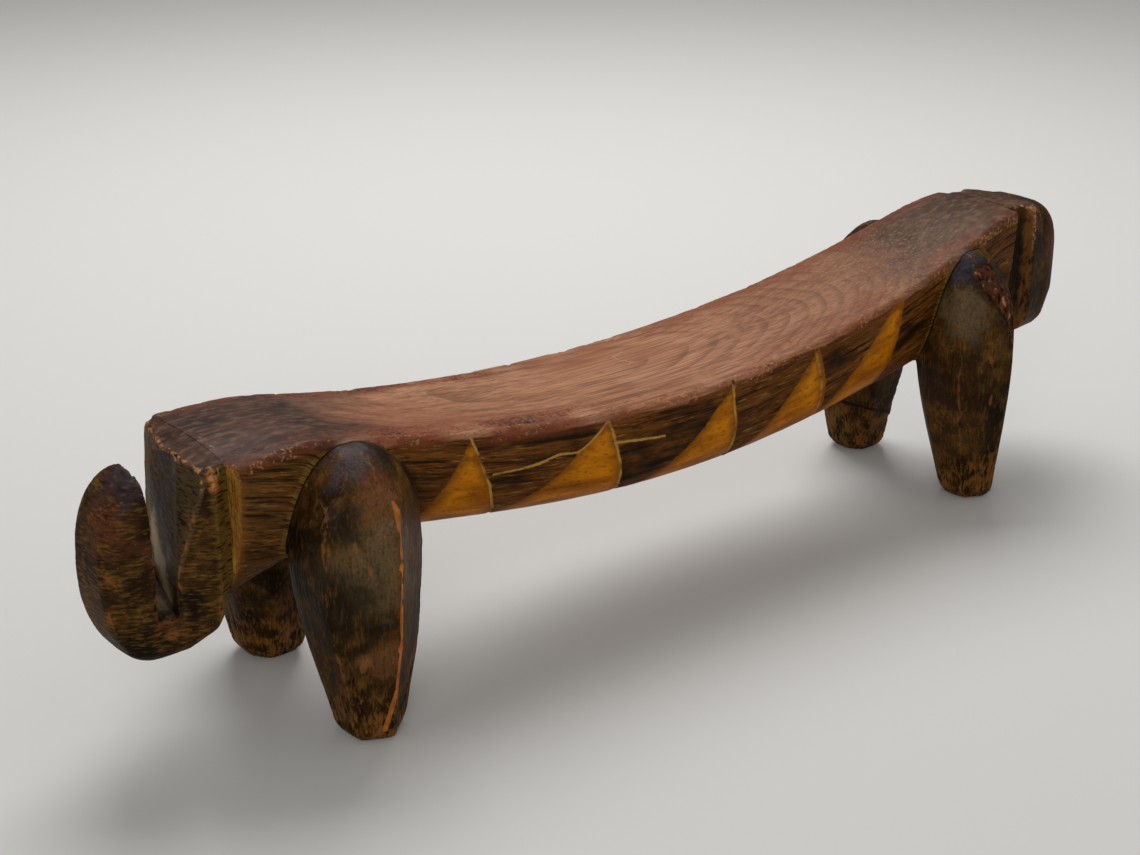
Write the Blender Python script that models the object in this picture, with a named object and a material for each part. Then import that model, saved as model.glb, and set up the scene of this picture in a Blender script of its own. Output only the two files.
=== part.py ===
"""Long carved headrest stool in the form of a four-legged animal.

A dished beam is the seat. Four swelling legs are scribed to its sides, a head
with an open slot and a curled trunk stands at the front end, and a rounded lobe
at the rear end. X runs from the head to the tail, Y across, Z up from the floor.
All sizes are in metres.
"""

import math

import bmesh
import bpy
from mathutils import Vector

# Fit between two pieces that touch
FIT_GAP = 0.0003

# Seat beam: lengths along X are counted from its front end
BEAM_LENGTH = 0.3685
FRONT_CREST_HEIGHT = 0.1005
DISH_HEIGHT = 0.0812
REAR_CREST_HEIGHT = 0.1105
FRONT_CREST_LENGTH = 0.030
DISH_STATION = 0.180
REAR_CREST_LENGTH = 0.010
CREST_BLEND_SHARE = 0.16
TOP_CROWN = 0.0008
TOP_EDGE_RADIUS = 0.0022
FRONT_HALF_WIDTH = 0.0270
SHOULDER_HALF_WIDTH = 0.0255
PLAN_SWELL = 0.0068
HIP_HALF_WIDTH = 0.0255
REAR_HALF_WIDTH = 0.0215
THROAT_HEIGHT = 0.0480
FRONT_ARCH_HEIGHT = 0.0585
BELLY_SAG = 0.0165
REAR_ARCH_HEIGHT = 0.0545
RUMP_HEIGHT = 0.0500
BELLY_POWER = 2.4

# Wear on the left front corner of the seat's top, counted from the joint with the head
CORNER_WEAR = 0.0042
CORNER_WEAR_LENGTH = 0.022
CORNER_WEAR_POWER = 1.5

# Legs
FRONT_LEG_INSET = 0.0405
REAR_LEG_INSET = 0.0325
FRONT_LEFT_LEG_HEIGHT = 0.0970
FRONT_RIGHT_LEG_HEIGHT = 0.0925
REAR_LEG_HEIGHT = 0.1020
FRONT_BULGE_HEIGHT = 0.064
REAR_BULGE_HEIGHT = 0.069
FRONT_LEG_RADIUS = 0.0216
REAR_LEG_RADIUS = 0.0193
DOME_POWER = 2.4
FRONT_FOOT_RADIUS = 0.0112
REAR_FOOT_RADIUS = 0.0106
FOOT_EDGE_HEIGHT = 0.005
SOLE_SHARE = 0.72
SWELL_POWER = 1.25
FRONT_STANCE = 0.0340
REAR_STANCE = 0.0320
TIP_LEAN = 0.0070
LEAN_POWER = 1.3
REAR_BOW = 0.0030
LEG_SHIFT = 0.0015
FACET_SHARPNESS = 26

# Break across the right rear leg, where its foot was put back
BREAK_HEIGHT = 0.020
BREAK_TILT = math.radians(20)

# Head: lengths are counted forward from the beam's front end
HEAD_REACH = 0.0378
TRUNK_HALF_LENGTH = 0.0175
TRUNK_TOP = 0.0960
TRUNK_BOTTOM = 0.0342
HEAD_NECK_HALF_WIDTH = 0.0200
FOREHEAD_HALF_WIDTH = 0.0228
FOREHEAD_SHIFT = 0.0013
FOREHEAD_RIGHT_GROWTH = 0.0062
HEAD_NECK_LENGTH = 0.0012
FOREHEAD_FLARE_LENGTH = 0.0043
TRUNK_HALF_WIDTH = 0.0150
HEAD_BOTTOM = 0.0475
FOREHEAD_THICKNESS = 0.0042
SLOT_FRONT = 0.0212
SLOT_FLOOR_HEIGHT = 0.0500
SLOT_FLOOR_RADIUS = 0.0020
SLOT_SKEW = math.radians(6)
SLOT_TWIST = 0.0101
SLOT_OVERCUT = 0.0030

# Tail: lengths are counted back from the beam's rear end
TAIL_REACH = 0.0375
LOBE_HALF_LENGTH = 0.016
LOBE_TOP = 0.1090
LOBE_BOTTOM = 0.0530
TAIL_NECK_HALF_WIDTH = 0.0165
TAIL_FLARE_HALF_WIDTH = 0.0205
TAIL_NECK_LENGTH = 0.0080
TAIL_FLARE_LENGTH = 0.0045
LOBE_HALF_WIDTH = 0.0190
TAIL_BOTTOM = 0.0520

# Shared shape of head and tail: section corners, flush with the seat and rounded, and the blunt end
FLUSH_POWER = 14.0
NOSE_POWER = 4.0
NOSE_OUTLINE_POWER = 2.3
NOSE_BLUNTNESS = 0.82
NOSE_CAP_SHARE = 0.12

# Tenons
LEG_TENON_WIDTH = 0.012
LEG_TENON_HEIGHT = 0.014
LEG_TENON_LENGTH = 0.013
END_TENON_WIDTH = 0.014
END_TENON_HEIGHT = 0.020
END_TENON_LENGTH = 0.014
END_TENON_ROOT = 0.003

# Woods: base colour and roughness
SEAT_WOOD = ((0.20, 0.09, 0.05), 0.45)
LEG_WOOD = ((0.045, 0.028, 0.018), 0.50)
FOOT_WOOD = ((0.10, 0.055, 0.03), 0.55)
END_WOOD = ((0.06, 0.034, 0.02), 0.50)

# Fineness of the lofts
BEAM_STATIONS = 40
BEAM_TOP_POINTS = 5
BEAM_EDGE_POINTS = 3
BEAM_SIDE_POINTS = 11
LEG_STATIONS = 22
LEG_FACET_POINTS = 6
NOSE_STATIONS = 11
NOSE_POINTS = 32
SLOT_FLOOR_POINTS = 6

# Places that follow from the sizes above
OVERALL_LENGTH = HEAD_REACH + BEAM_LENGTH + TAIL_REACH
FRONT_X = HEAD_REACH - OVERALL_LENGTH / 2
REAR_X = FRONT_X + BEAM_LENGTH
REAR_LEG_STATION = BEAM_LENGTH - REAR_LEG_INSET
LEFT, RIGHT = -1, 1

# Facets of a leg's section: (direction in degrees for a left leg, share of the radius)
LEG_FACET_SHARES = ((-178, 0.97), (-116, 0.98), (-43, 0.91), (24, 0.97), (90, 1.0), (140, 1.0))


def lerp(a, b, share):
    return a + (b - a) * share


def soft_min(a, b, blend):
    """The smaller of two values, eased where they cross."""
    h = max(blend - abs(a - b), 0.0) / blend
    return min(a, b) - h * h * blend / 4


def between_legs(station):
    """0 at the front legs and 1 at the rear legs."""
    return (station - FRONT_LEG_INSET) / (REAR_LEG_STATION - FRONT_LEG_INSET)


def three_spans(station, front, shoulder, swell, hip, rear):
    """A value that runs straight to the legs and bows by swell between them."""
    t = between_legs(station)
    if t < 0:
        return lerp(front, shoulder, station / FRONT_LEG_INSET)
    if t > 1:
        return lerp(hip, rear, (station - REAR_LEG_STATION) / REAR_LEG_INSET)
    return lerp(shoulder, hip, t) + swell * math.sin(math.pi * t)


def seat_height(station):
    """Two half parabolas that meet at the dish's lowest line and level off at the crests."""
    crest, edge = FRONT_CREST_HEIGHT, FRONT_CREST_LENGTH
    if station > DISH_STATION:
        crest, edge = REAR_CREST_HEIGHT, BEAM_LENGTH - REAR_CREST_LENGTH
    share = ((station - DISH_STATION) / (edge - DISH_STATION)) ** 2
    return DISH_HEIGHT + (crest - DISH_HEIGHT) * soft_min(share, 1.0, CREST_BLEND_SHARE)


def half_width(station):
    return three_spans(
        station, FRONT_HALF_WIDTH, SHOULDER_HALF_WIDTH, PLAN_SWELL, HIP_HALF_WIDTH, REAR_HALF_WIDTH
    )


def belly_height(station):
    return three_spans(
        station, THROAT_HEIGHT, FRONT_ARCH_HEIGHT, -BELLY_SAG, REAR_ARCH_HEIGHT, RUMP_HEIGHT
    )


def worn_corner(station, y):
    """How far the top is worn down near the seat's left front corner."""
    near = max(0.0, 1 - abs(station) / CORNER_WEAR_LENGTH)
    aside = max(0.0, -y) / FRONT_HALF_WIDTH
    return CORNER_WEAR * aside**2 * near**CORNER_WEAR_POWER


def rounded(angle, power):
    """Unit point of a superellipse."""
    c, s = math.cos(angle), math.sin(angle)
    return (
        math.copysign(abs(c) ** (2 / power), c),
        math.copysign(abs(s) ** (2 / power), s),
    )


def beam_ring(station, grow):
    """Section of the beam: slightly crowned top, rounded edges, full belly."""
    w = half_width(station) + grow
    top = seat_height(station) + grow
    r = TOP_EDGE_RADIUS
    half = []
    for i in range(BEAM_TOP_POINTS):
        y = (w - r) * i / BEAM_TOP_POINTS
        half.append((y, top + TOP_CROWN * (1 - (y / (w - r)) ** 2)))
    for i in range(BEAM_EDGE_POINTS + 1):
        a = math.pi / 2 * (1 - i / BEAM_EDGE_POINTS)
        half.append((w - r + r * math.cos(a), top - r + r * math.sin(a)))
    depth = top - r - belly_height(station) + grow
    for i in range(1, BEAM_SIDE_POINTS + 1):
        c, s = rounded(math.pi / 2 * i / BEAM_SIDE_POINTS, BELLY_POWER)
        half.append((w * c, top - r - depth * s))
    mirrored = [(-y, z) for y, z in reversed(half[1:-1])]
    ring = []
    for y, z in half + mirrored:
        drop = worn_corner(station, y) * (z - top + r + depth) / (r + depth)
        ring.append(Vector((FRONT_X + station, y, z - drop)))
    return ring


def arris_angle(facet, neighbour):
    """Direction in which two facets of a leg's section meet."""
    first, second = math.radians(facet[0]), math.radians(neighbour[0])
    return math.atan2(
        neighbour[1] * math.cos(first) - facet[1] * math.cos(second),
        facet[1] * math.sin(second) - neighbour[1] * math.sin(first),
    )


def section_angles():
    """Directions of a section's points: each arris, and evenly across each facet."""
    neighbours = LEG_FACET_SHARES[1:] + LEG_FACET_SHARES[:1]
    arrises = [arris_angle(*pair) for pair in zip(LEG_FACET_SHARES, neighbours)]
    angles = []
    for start, end in zip(arrises, arrises[1:] + [arrises[0] + 2 * math.pi]):
        angles += [lerp(start, end, i / LEG_FACET_POINTS) for i in range(LEG_FACET_POINTS)]
    return angles


def facet_radius(angle):
    """Radius of a many-sided section with eased corners, 1 on average."""
    total = 0.0
    for degrees, distance in LEG_FACET_SHARES:
        reach = max(0.0, math.cos(angle - math.radians(degrees)) / distance)
        total += reach**FACET_SHARPNESS
    return total ** (-1 / FACET_SHARPNESS)


def leg_radius(z, height, bulge, widest, foot):
    """Foot, swelling up to the bulge, then a domed tip."""
    if z > bulge:
        return widest * math.sqrt(max(0.0, 1 - ((z - bulge) / (height - bulge)) ** DOME_POWER))
    swell = math.sin(math.pi / 2 * z / bulge) ** SWELL_POWER
    radius = lerp(foot, widest, swell)
    wear = max(0.0, 1 - z / FOOT_EDGE_HEIGHT)
    return radius * (1 - (1 - SOLE_SHARE) * wear**2)


def leg_heights(height, bulge):
    """Stations closer together at the worn foot and at the tip."""
    foot = [0.0, FOOT_EDGE_HEIGHT / 3, FOOT_EDGE_HEIGHT * 2 / 3]
    shaft = LEG_STATIONS // 2
    rising = [lerp(FOOT_EDGE_HEIGHT, bulge, i / shaft) for i in range(shaft)]
    crown = LEG_STATIONS - shaft
    dome = [lerp(bulge, height, math.sin(math.pi / 2 * i / crown)) for i in range(crown)]
    return foot + rising + dome


def leg_rings(station, stance, side, height, bulge, widest, foot, bow):
    """Sections of one leg from the sole up to the tip."""
    x = FRONT_X + station
    rings = []
    for z in leg_heights(height, bulge):
        r = leg_radius(z, height, bulge, widest, foot)
        lean = TIP_LEAN * (z / height) ** LEAN_POWER
        ahead = bow * math.sin(math.pi * z / height)
        ring = []
        for angle in section_angles():
            reach = r * facet_radius(angle)
            y = reach * math.sin(angle) - (stance - lean)
            ring.append(Vector((x - ahead + reach * math.cos(angle), -side * y, z)))
        rings.append(ring)
    return rings


def nose_rings(
    joint_x, way, reach, half_length, tops, bottoms, widths, neck_length, flare_length, shift, growth
):
    """Sections of the head or tail from its joint to its rounded end.

    tops and bottoms are heights at the joint and at the start of the rounding;
    widths are half-widths at the joint, at the flare and at the start of the rounding;
    shift is how far the joint's section lies to the left, and growth is how much
    wider it is on its right.
    """
    start = reach - half_length
    flared = neck_length + flare_length
    straight = [FIT_GAP, neck_length, neck_length + flare_length / 2, flared, (flared + start) / 2]
    middle = (tops[1] + bottoms[1]) / 2
    half_height = (tops[1] - bottoms[1]) / 2
    sections = []
    for d in straight:
        share = d / start
        bottom = lerp(bottoms[1], bottoms[0], (1 - share) ** 2)
        if d < flared:
            width = lerp(widths[0], widths[1], max(0.0, d - neck_length) / flare_length)
        else:
            width = lerp(widths[1], widths[2], (d - flared) / (start - flared))
        power = lerp(FLUSH_POWER, NOSE_POWER, max(0.0, d - flared) / (start - flared))
        top = lerp(tops[0], tops[1], share)
        aside = lerp(LEFT * shift, 0.0, share)
        sections.append((d, width, bottom, top, power, aside, lerp(growth, 0.0, share)))
    for i in range(NOSE_STATIONS + 1):
        turn = math.pi / 2 * i / NOSE_STATIONS
        width = widths[2] * math.sqrt(1 - (NOSE_BLUNTNESS * math.sin(turn)) ** 2)
        rise, ahead = rounded(turn, NOSE_OUTLINE_POWER)
        h = half_height * max(rise, NOSE_CAP_SHARE)
        d = start + half_length * ahead
        sections.append((d, width, middle - h, middle + h, NOSE_POWER, 0.0, 0.0))
    rings = []
    for d, width, bottom, top, top_power, aside, right in sections:
        ring = []
        for i in range(NOSE_POINTS):
            upper = 2 * i < NOSE_POINTS
            c, s = rounded(2 * math.pi * i / NOSE_POINTS, top_power if upper else NOSE_POWER)
            x = joint_x + way * d
            y = width * c + aside + right * max(c, 0.0)
            share = (1 + s) / 2
            drop = worn_corner(x - FRONT_X, y) * share
            ring.append(Vector((x, y, lerp(bottom, top, share) - drop)))
        rings.append(ring)
    return rings


def loft(rings):
    """Closed skin over a row of sections with the same number of points."""
    bm = bmesh.new()
    rows = [[bm.verts.new(p) for p in ring] for ring in rings]
    count = len(rows[0])
    for low, high in zip(rows, rows[1:]):
        for i in range(count):
            j = (i + 1) % count
            bm.faces.new((low[i], low[j], high[j], high[i]))
    bm.faces.new(rows[0])
    bm.faces.new(rows[-1])
    bmesh.ops.recalc_face_normals(bm, faces=bm.faces)
    return bm


def cut_off(bm, point, normal):
    """Removes what lies behind a plane and closes the cut with a flat face."""
    everything = bm.verts[:] + bm.edges[:] + bm.faces[:]
    made = bmesh.ops.bisect_plane(
        bm, geom=everything, plane_co=point, plane_no=normal, clear_inner=True
    )
    rim = [e for e in made["geom_cut"] if isinstance(e, bmesh.types.BMEdge)]
    bmesh.ops.edgeloop_fill(bm, edges=rim)
    bmesh.ops.recalc_face_normals(bm, faces=bm.faces)


def add_object(name, bm):
    mesh = bpy.data.meshes.new(name)
    bm.to_mesh(mesh)
    bm.free()
    obj = bpy.data.objects.new(name, mesh)
    bpy.context.scene.collection.objects.link(obj)
    return obj


def add_piece(name, bm, wood):
    """A visible piece with its own material."""
    obj = add_object(name, bm)
    colour, roughness = wood
    material = bpy.data.materials.new(name)
    material.use_nodes = True
    shader = material.node_tree.nodes["Principled BSDF"]
    shader.inputs["Base Color"].default_value = (*colour, 1.0)
    shader.inputs["Roughness"].default_value = roughness
    shader.inputs["Metallic"].default_value = 0.0
    obj.data.materials.append(material)
    return obj


def add_helper(name, bm):
    """A cutter or tenon that shapes a piece and isn't a piece itself."""
    obj = add_object(name, bm)
    obj.hide_render = True
    obj.display_type = "WIRE"
    return obj


def box(low, high, grow):
    """Block between two corners, larger by grow on every side."""
    bm = bmesh.new()
    bmesh.ops.create_cube(bm, size=1.0)
    for v in bm.verts:
        share = v.co + Vector((0.5, 0.5, 0.5))
        v.co = [lerp(min(a, b) - grow, max(a, b) + grow, t) for a, b, t in zip(low, high, share)]
    return bm


def combine(obj, helper, operation):
    modifier = obj.modifiers.new(helper.name, "BOOLEAN")
    modifier.operation = operation
    modifier.solver = "EXACT"
    modifier.object = helper


def tenon(piece, low, high):
    """A tenon on a piece, and its mortise in the beam from the same two corners."""
    combine(piece, add_helper(piece.name + "_tenon", box(low, high, 0.0)), "UNION")
    combine(beam, add_helper(piece.name + "_mortise", box(low, high, FIT_GAP)), "DIFFERENCE")


def add_leg(name, bm, station, stance, side):
    """A leg scribed to the beam's side, with a tenon into it."""
    leg = add_piece(name, bm, LEG_WOOD)
    combine(leg, beam_clearance, "DIFFERENCE")
    x = FRONT_X + station
    z = (seat_height(station) + belly_height(station)) / 2
    tip = half_width(station) - LEG_TENON_LENGTH
    tenon(
        leg,
        (x - LEG_TENON_WIDTH / 2, side * tip, z - LEG_TENON_HEIGHT / 2),
        (x + LEG_TENON_WIDTH / 2, side * stance, z + LEG_TENON_HEIGHT / 2),
    )


def add_end(name, bm, joint_x, way, low_z):
    """A head or tail with a tenon into the beam's end."""
    end = add_piece(name, bm, END_WOOD)
    half = END_TENON_WIDTH / 2
    tenon(
        end,
        (joint_x + way * END_TENON_ROOT, -half, low_z),
        (joint_x - way * END_TENON_LENGTH, half, low_z + END_TENON_HEIGHT),
    )
    return end


def slot_cutter():
    """Wedge that opens the slot between the forehead and the trunk."""
    above = 2 * FRONT_CREST_HEIGHT - SLOT_FLOOR_HEIGHT
    centre = Vector((SLOT_FRONT - SLOT_FLOOR_RADIUS, SLOT_FLOOR_HEIGHT + SLOT_FLOOR_RADIUS))
    edge = Vector((FOREHEAD_THICKNESS, FRONT_CREST_HEIGHT))
    slope = math.atan2(centre.x - SLOT_FLOOR_RADIUS - edge.x, edge.y - centre.y)
    outline = [Vector((SLOT_FRONT, above))]
    for i in range(SLOT_FLOOR_POINTS + 1):
        a = (math.pi - slope) * i / SLOT_FLOOR_POINTS
        outline.append(centre + SLOT_FLOOR_RADIUS * Vector((math.cos(a), -math.sin(a))))
    left_reach = FOREHEAD_HALF_WIDTH + SLOT_OVERCUT
    right_reach = left_reach + FOREHEAD_RIGHT_GROWTH
    sides = []
    for side, reach, twist in ((LEFT, left_reach, 0.0), (RIGHT, right_reach, SLOT_TWIST)):
        back = outline[-1] - Vector((twist, 0))
        top = back + (edge - back) * ((above - back.y) / (edge.y - back.y))
        ahead = -side * reach * math.tan(SLOT_SKEW)
        wedge = outline[:-1] + [back, top]
        sides.append([Vector((FRONT_X - d - ahead, side * reach, z)) for d, z in wedge])
    return loft(sides)


# Start from an empty scene
for old in list(bpy.data.objects):
    bpy.data.objects.remove(old)

# Seat beam, and the slightly larger beam that scribes the legs to it
stations = [BEAM_LENGTH * i / BEAM_STATIONS for i in range(BEAM_STATIONS + 1)]
beam = add_piece("seat_beam", loft([beam_ring(s, 0.0) for s in stations]), SEAT_WOOD)
beam_clearance = add_helper("beam_clearance", loft([beam_ring(s, FIT_GAP) for s in stations]))

# Front legs
for side, name, height in (
    (LEFT, "front_left_leg", FRONT_LEFT_LEG_HEIGHT),
    (RIGHT, "front_right_leg", FRONT_RIGHT_LEG_HEIGHT),
):
    station = FRONT_LEG_INSET + side * LEG_SHIFT
    rings = leg_rings(
        station,
        FRONT_STANCE,
        side,
        height,
        FRONT_BULGE_HEIGHT,
        FRONT_LEG_RADIUS,
        FRONT_FOOT_RADIUS,
        0.0,
    )
    add_leg(name, loft(rings), station, FRONT_STANCE, side)

# Rear legs; the right one ends at the break
break_up = Vector((math.sin(BREAK_TILT), 0.0, math.cos(BREAK_TILT)))
break_point = Vector((FRONT_X + REAR_LEG_STATION, REAR_STANCE, BREAK_HEIGHT))
for side, name in ((LEFT, "rear_left_leg"), (RIGHT, "rear_right_leg")):
    station = REAR_LEG_STATION + side * LEG_SHIFT
    rings = leg_rings(
        station,
        REAR_STANCE,
        side,
        REAR_LEG_HEIGHT,
        REAR_BULGE_HEIGHT,
        REAR_LEG_RADIUS,
        REAR_FOOT_RADIUS,
        REAR_BOW,
    )
    body = loft(rings)
    if side == RIGHT:
        cut_off(body, break_point, break_up)
        foot = loft(rings)
        cut_off(foot, break_point - FIT_GAP * break_up, -break_up)
        add_piece("rear_right_foot", foot, FOOT_WOOD)
    add_leg(name, body, station, REAR_STANCE, side)

# Head: block with its trunk, then the slot
head_rings = nose_rings(
    FRONT_X,
    -1,
    HEAD_REACH,
    TRUNK_HALF_LENGTH,
    (FRONT_CREST_HEIGHT + TOP_CROWN, TRUNK_TOP),
    (HEAD_BOTTOM, TRUNK_BOTTOM),
    (HEAD_NECK_HALF_WIDTH, FOREHEAD_HALF_WIDTH, TRUNK_HALF_WIDTH),
    HEAD_NECK_LENGTH,
    FOREHEAD_FLARE_LENGTH,
    FOREHEAD_SHIFT,
    FOREHEAD_RIGHT_GROWTH,
)
head_tenon_low = (THROAT_HEIGHT + FRONT_CREST_HEIGHT - END_TENON_HEIGHT) / 2
head = add_end("head", loft(head_rings), FRONT_X, -1, head_tenon_low)
combine(head, add_helper("slot_cutter", slot_cutter()), "DIFFERENCE")

# Tail lobe
tail_rings = nose_rings(
    REAR_X,
    1,
    TAIL_REACH,
    LOBE_HALF_LENGTH,
    (REAR_CREST_HEIGHT + TOP_CROWN, LOBE_TOP),
    (TAIL_BOTTOM, LOBE_BOTTOM),
    (TAIL_NECK_HALF_WIDTH, TAIL_FLARE_HALF_WIDTH, LOBE_HALF_WIDTH),
    TAIL_NECK_LENGTH,
    TAIL_FLARE_LENGTH,
    0.0,
    0.0,
)
tail_tenon_low = (RUMP_HEIGHT + REAR_CREST_HEIGHT - END_TENON_HEIGHT) / 2
add_end("tail", loft(tail_rings), REAR_X, 1, tail_tenon_low)
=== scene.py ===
# %% [markdown]
# # A carved headrest stool
# The stool is a low, long seat in the form of a four-legged animal. It was cut from one log with an
# adze and a knife, scorched dark, and then polished by years of use. This lesson dresses its solid
# model: it keeps every solid where it is, lays a fine skin over it, carves the skin, and paints it
# with wood that is worked out from the place of each point, with no pictures.
#
# The solid model is the fixed frame, so it is loaded first, and its box is kept to aim the lamps.

# %% Load the frame
import math

import bmesh
import bpy
import numpy as np
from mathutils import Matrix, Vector


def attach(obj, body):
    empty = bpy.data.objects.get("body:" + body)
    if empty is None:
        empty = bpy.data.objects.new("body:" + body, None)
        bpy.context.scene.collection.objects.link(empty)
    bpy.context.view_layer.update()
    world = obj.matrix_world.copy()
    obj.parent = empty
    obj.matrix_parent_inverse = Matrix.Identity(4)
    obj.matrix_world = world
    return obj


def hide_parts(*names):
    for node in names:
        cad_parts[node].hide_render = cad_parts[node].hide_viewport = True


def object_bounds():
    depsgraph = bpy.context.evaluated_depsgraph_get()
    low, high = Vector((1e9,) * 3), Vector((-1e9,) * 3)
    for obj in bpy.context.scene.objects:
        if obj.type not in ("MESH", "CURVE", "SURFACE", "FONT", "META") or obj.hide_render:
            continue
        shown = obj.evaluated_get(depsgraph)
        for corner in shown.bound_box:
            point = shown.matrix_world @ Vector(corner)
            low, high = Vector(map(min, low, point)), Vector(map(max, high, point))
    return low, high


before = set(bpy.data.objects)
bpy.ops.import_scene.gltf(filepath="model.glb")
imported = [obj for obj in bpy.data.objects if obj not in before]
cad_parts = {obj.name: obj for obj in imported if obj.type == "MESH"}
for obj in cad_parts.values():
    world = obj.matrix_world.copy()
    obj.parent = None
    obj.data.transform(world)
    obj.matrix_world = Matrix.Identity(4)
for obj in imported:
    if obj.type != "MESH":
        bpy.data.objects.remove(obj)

cad_low, cad_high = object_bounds()
MM = 0.001
print("nodes:", ", ".join(sorted(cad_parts)))
print("solid box in mm:", [round(v / MM, 1) for v in (*cad_low, *cad_high)])

# %% [markdown]
# ## Camera, floor and light
# The camera stands where the photographer stood: in front of the head, to the animal's left, and
# looking down. A long lens keeps the far legs from shrinking. The floor is one wide pale sheet, and
# the light is one large soft lamp above and behind, one weak lamp in front, and an even sky. A large
# lamp gives the soft shadow under the belly and the sheen on the polished seat.

# %% Camera
CAMERA_PLACE = (-0.4439, -0.4966, 0.3253)
CAMERA_AIM = (0.5898, 0.7155, -0.3745)
CAMERA_LENS = 61.58
SENSOR_WIDTH = 36.0
NEAREST_SEEN = 0.01

camera = bpy.data.objects.new("camera", bpy.data.cameras.new("camera"))
bpy.context.scene.collection.objects.link(camera)
camera.location = CAMERA_PLACE
camera.rotation_euler = Vector(CAMERA_AIM).to_track_quat("-Z", "Y").to_euler()
camera.data.lens = CAMERA_LENS
camera.data.sensor_width = SENSOR_WIDTH
camera.data.clip_start = NEAREST_SEEN
bpy.context.scene.camera = camera
bpy.context.scene.view_settings.view_transform = "Standard"
print("camera at", CAMERA_PLACE, "with a lens of", CAMERA_LENS, "mm")

# %% Floor and sky
FLOOR_SIDE = 12.0
FLOOR_COLOUR = (0.66, 0.65, 0.63, 1.0)
FLOOR_ROUGHNESS = 0.9
SKY_COLOUR = (1.0, 0.99, 0.97, 1.0)
SKY_STRENGTH = 0.32

bpy.ops.mesh.primitive_plane_add(size=FLOOR_SIDE)
floor = bpy.context.object
floor.name = "floor"
pale = bpy.data.materials.new("pale floor")
pale.use_nodes = True
pale.node_tree.nodes["Principled BSDF"].inputs["Base Color"].default_value = FLOOR_COLOUR
pale.node_tree.nodes["Principled BSDF"].inputs["Roughness"].default_value = FLOOR_ROUGHNESS
floor.data.materials.append(pale)

sky = bpy.data.worlds.new("sky")
sky.use_nodes = True
sky.node_tree.nodes["Background"].inputs["Color"].default_value = SKY_COLOUR
sky.node_tree.nodes["Background"].inputs["Strength"].default_value = SKY_STRENGTH
bpy.context.scene.world = sky
print("floor", FLOOR_SIDE, "m wide, sky strength", SKY_STRENGTH)


# %% Lamps
def add_lamp(name, place, side, power):
    """A square soft lamp that shines at the middle of the stool."""
    light = bpy.data.lights.new(name, "AREA")
    light.size = side
    light.energy = power
    lamp = bpy.data.objects.new(name, light)
    lamp.location = place
    aim = (cad_low + cad_high) / 2 - Vector(place)
    lamp.rotation_euler = aim.to_track_quat("-Z", "Y").to_euler()
    bpy.context.scene.collection.objects.link(lamp)


add_lamp("overhead lamp", place=(0.35, 0.55, 1.05), side=0.8, power=11.0)
add_lamp("front lamp", place=(-0.9, -0.9, 0.7), side=0.6, power=5.0)
print("two lamps")

# %% [markdown]
# ## Sums on sockets
# Node trees are sums. Written as nodes they are hard to read, so a small class wraps one output
# socket, and Python's own signs add the nodes: `1 - mask` or `depth * 2` each add one Math node. The
# same class serves geometry trees and materials, because both know the same Math and Noise nodes.
# So a groove that is cut by a tree and the colour that lies in it can come from one function.


# %% One class for every tree
class Field:
    """A value that changes over a surface: one output socket of a node tree."""

    def __init__(self, tree, socket=None):
        self.tree = tree
        self.socket = socket

    def node(self, kind, settings=None, sockets=None, out=0):
        """Adds a node, sets it up, fills its sockets, and gives one output or a slice of them.

        A list fills a socket that takes many links.
        """
        made = self.tree.nodes.new(kind)
        for name, value in (settings or {}).items():
            setattr(made, name, value)
        for key, value in (sockets or {}).items():
            for item in value if isinstance(value, list) else [value]:
                if isinstance(item, Field):
                    self.tree.links.new(item.socket, made.inputs[key])
                else:
                    made.inputs[key].default_value = item
        return [Field(self.tree, socket) for socket in made.outputs][out]

    def math(self, operation, *values):
        return self.node("ShaderNodeMath", {"operation": operation}, dict(enumerate(values)))

    def vector(self, operation, *values, out=0):
        return self.node("ShaderNodeVectorMath", {"operation": operation}, dict(enumerate(values)), out)

    def __add__(self, other):
        return self.math("ADD", self, other)

    def __radd__(self, other):
        return self.math("ADD", other, self)

    def __sub__(self, other):
        return self.math("SUBTRACT", self, other)

    def __rsub__(self, other):
        return self.math("SUBTRACT", other, self)

    def __mul__(self, other):
        return self.math("MULTIPLY", self, other)

    def __rmul__(self, other):
        return self.math("MULTIPLY", other, self)

    def __truediv__(self, other):
        return self.math("DIVIDE", self, other)

    def __rtruediv__(self, other):
        return self.math("DIVIDE", other, self)

    def __pow__(self, other):
        return self.math("POWER", self, other)

    def __abs__(self):
        return self.math("ABSOLUTE", self)

    def least(self, other):
        return self.math("MINIMUM", self, other)

    def most(self, other):
        return self.math("MAXIMUM", self, other)


print("sums on sockets ready")


# %% Small words for the trees
def split(vector):
    return vector.node("ShaderNodeSeparateXYZ", {}, {0: vector}, out=slice(3))


def combine(x, y, z):
    return x.node("ShaderNodeCombineXYZ", {}, {0: x, 1: y, 2: z})


def between(value, low, high):
    """0 at low and 1 at high, eased; low may be the larger one."""
    return value.node(
        "ShaderNodeMapRange", {"interpolation_type": "SMOOTHSTEP"}, {0: value, 1: low, 2: high}
    )


def mix(share, first, second):
    """Colour that goes from first to second as share goes from 0 to 1."""
    return share.node("ShaderNodeMix", {"data_type": "RGBA"}, {0: share, 6: first, 7: second}, out=2)


def noise(place, size, seed, long=(1, 1, 1), detail=2.0):
    """Soft random values about 0.5, in patches that are size wide, times long along each axis."""
    spread = place.vector("MULTIPLY", place, tuple(1 / times for times in long))
    sockets = {0: spread, 1: seed, 2: 1 / size, 3: detail}
    return place.node("ShaderNodeTexNoise", {"noise_dimensions": "4D"}, sockets)


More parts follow.
